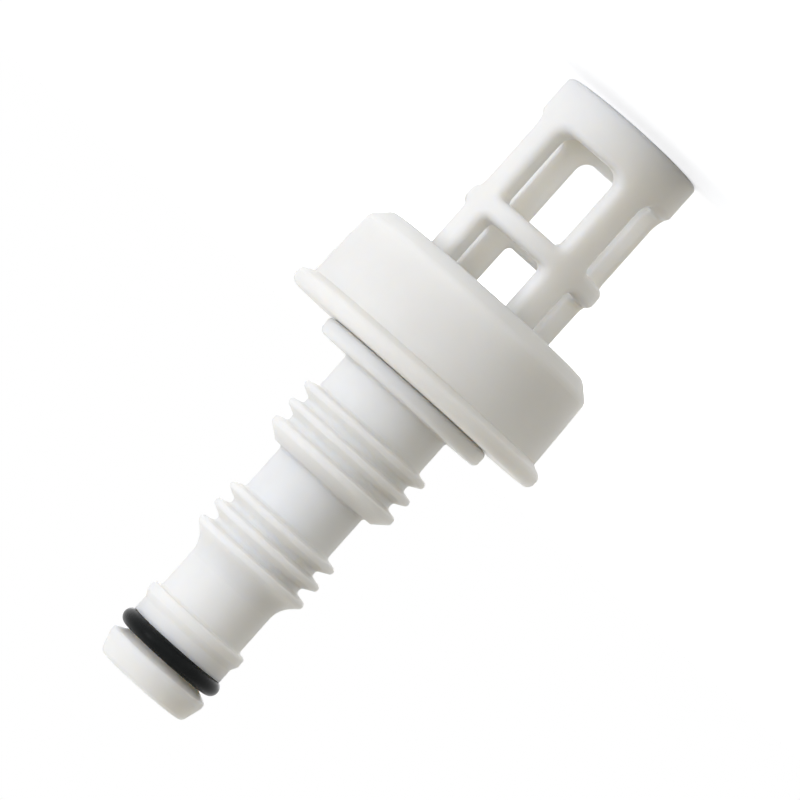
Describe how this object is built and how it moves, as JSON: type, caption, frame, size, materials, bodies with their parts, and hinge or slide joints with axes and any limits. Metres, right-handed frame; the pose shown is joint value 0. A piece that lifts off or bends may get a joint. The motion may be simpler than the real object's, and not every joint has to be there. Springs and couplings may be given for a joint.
{
  "type": "pool drain plug",
  "caption": "White drain adapter for a garden pool: windowed cage, loose screw collar, retaining disc, stepped hose barbs and a push-fit nose with a black O-ring.",
  "frame": {"origin": "middle of the cage's end ring, on the face it stands on", "axes": "+Z along the water passage from the cage to the hose tail; the cage's windows face +X, -X, +Y and -Y"},
  "size_m": [0.0414, 0.0414, 0.0962],
  "materials": {
    "white_plastic": "satin, slightly translucent moulded polypropylene",
    "black_rubber": "moulded black rubber with a dull sheen"
  },
  "bodies": {
    "adapter": {"adapter_body": "white_plastic", "nose_o_ring": "black_rubber", "collar_washer": "black_rubber"},
    "collar": {"swivel_collar": "white_plastic"}
  },
  "joints": [
    {"name": "collar_spin", "type": "hinge", "parent": "adapter", "child": "collar", "pos_m": [0, 0, 0.0428], "axis": [0, 0, 1], "continuous": true}
  ]
}
